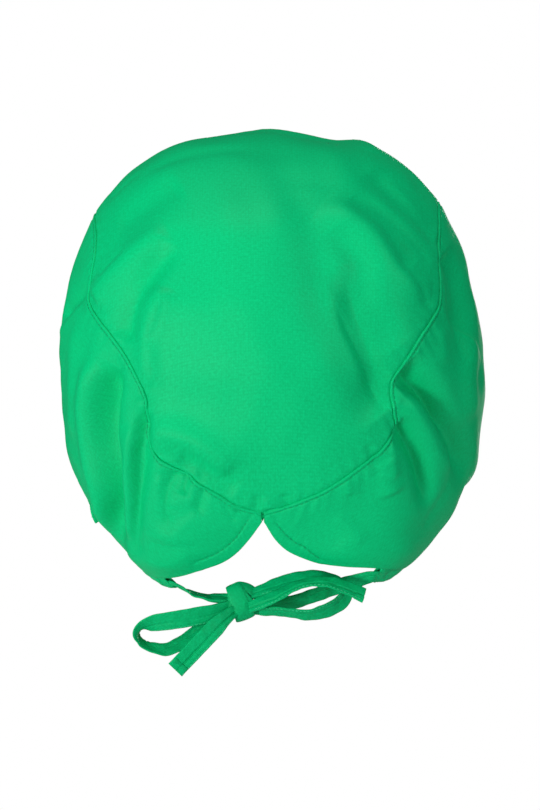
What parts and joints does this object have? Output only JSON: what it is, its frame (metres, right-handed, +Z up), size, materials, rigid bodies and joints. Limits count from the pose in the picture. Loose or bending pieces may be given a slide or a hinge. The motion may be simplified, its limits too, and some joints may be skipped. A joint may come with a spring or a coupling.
{
  "type": "scrub cap",
  "caption": "Cloth scrub cap with a full crown sewn into a side band, a notch at the nape and tape ties knotted in a bow.",
  "frame": {"origin": "middle of the head opening, between the brow rim and the nape rim, on the head's upright axis", "axes": "+Z up the wearer's head, +Y towards the wearer's brow, +X to the wearer's right-hand side as seen from behind"},
  "size_m": [0.2326, 0.234, 0.2974],
  "materials": {
    "cap_cloth": "plain-woven poly-cotton poplin, matt with a faint sheen",
    "tie_tape": "folded and edge-stitched tape of the same poplin"
  },
  "bodies": {
    "root": {"crown_panel": "cap_cloth", "side_band": "cap_cloth", "left_tie_casing": "cap_cloth", "left_elastic_gather": "cap_cloth", "right_tie_casing": "cap_cloth", "right_elastic_gather": "cap_cloth", "knot": "tie_tape", "left_tie_lead": "tie_tape", "right_tie_lead": "tie_tape", "left_loop": "tie_tape", "right_loop": "tie_tape", "left_tail": "tie_tape", "right_tail": "tie_tape"}
  },
  "joints": []
}
